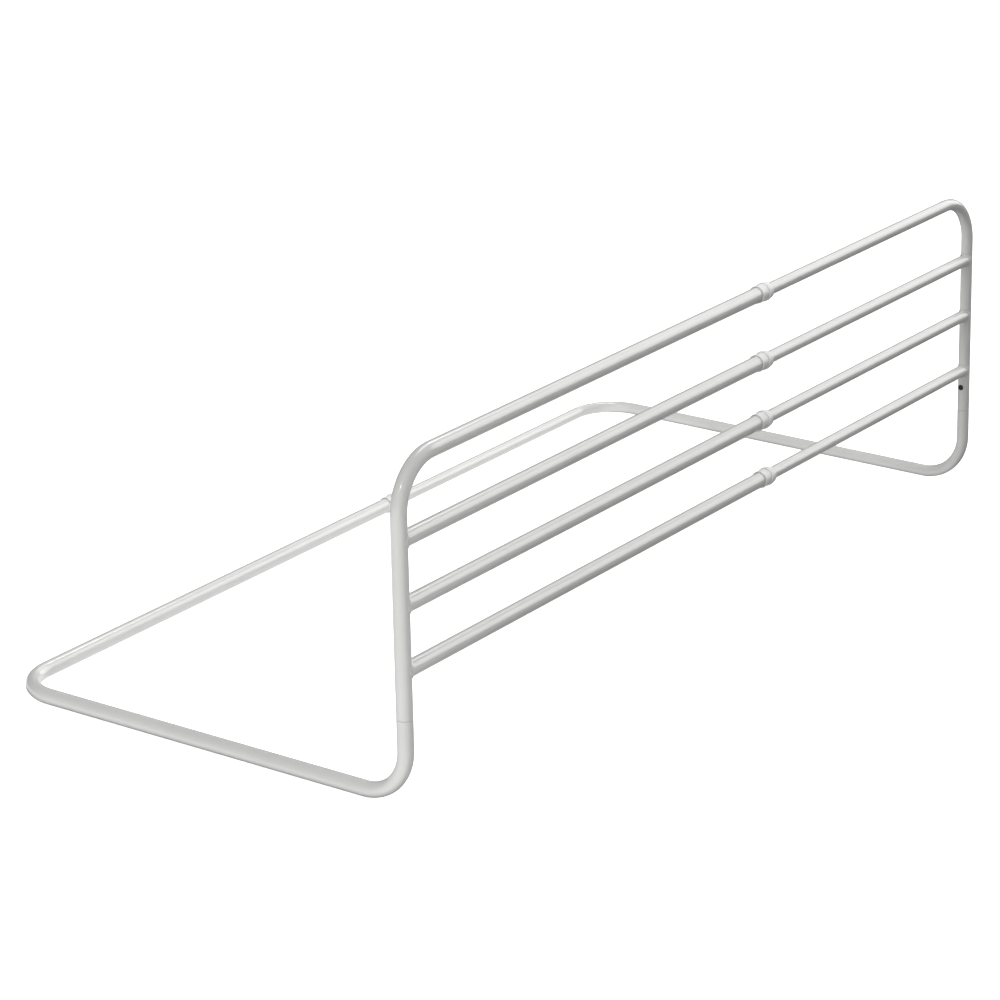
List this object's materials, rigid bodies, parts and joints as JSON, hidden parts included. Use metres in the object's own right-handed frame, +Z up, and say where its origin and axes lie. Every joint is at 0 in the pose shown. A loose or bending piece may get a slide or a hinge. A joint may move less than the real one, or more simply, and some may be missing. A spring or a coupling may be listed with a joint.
{
  "type": "extending bed guard rail",
  "caption": "White steel tube guard rail for a child's bed: barred panel on an open frame that lies under the mattress, sliding out to suit the bed's length.",
  "frame": {"origin": "under the middle of the whole guard as it is slid out in the picture, at the level of its lowest point, the underside of the rear bush", "axes": "+X along the rails from the wide tubes to the narrow ones, +Y from the guard panel under the mattress, +Z up"},
  "size_m": [1.301, 0.6374, 0.4344],
  "materials": {
    "tube_paint": "white powder coat, semi-gloss",
    "bush_plastic": "white moulded plastic, satin",
    "glide_plastic": "grey moulded plastic",
    "screw_steel": "black oxide",
    "zinc_steel": "zinc plated"
  },
  "bodies": {
    "left_half": {"left_guard_tube": "tube_paint", "left_base_tube": "tube_paint", "upper_outer_rail": "tube_paint", "middle_outer_rail": "tube_paint", "lower_outer_rail": "tube_paint", "top_bush": "bush_plastic", "upper_bush": "bush_plastic", "middle_bush": "bush_plastic", "lower_bush": "bush_plastic", "rear_bush": "bush_plastic", "left_spigot": "zinc_steel", "left_rivet_nut": "zinc_steel", "left_screw": "screw_steel"},
    "right_half": {"right_guard_tube": "tube_paint", "right_base_tube": "tube_paint", "upper_inner_rail": "tube_paint", "middle_inner_rail": "tube_paint", "lower_inner_rail": "tube_paint", "top_glide": "glide_plastic", "upper_glide": "glide_plastic", "middle_glide": "glide_plastic", "lower_glide": "glide_plastic", "rear_glide": "glide_plastic", "right_spigot": "zinc_steel", "right_rivet_nut": "zinc_steel", "right_screw": "screw_steel"}
  },
  "joints": [
    {"name": "length_slide", "type": "slide", "parent": "left_half", "child": "right_half", "axis": [1, 0, 0], "range_m": [-0.43, 0.157]}
  ]
}
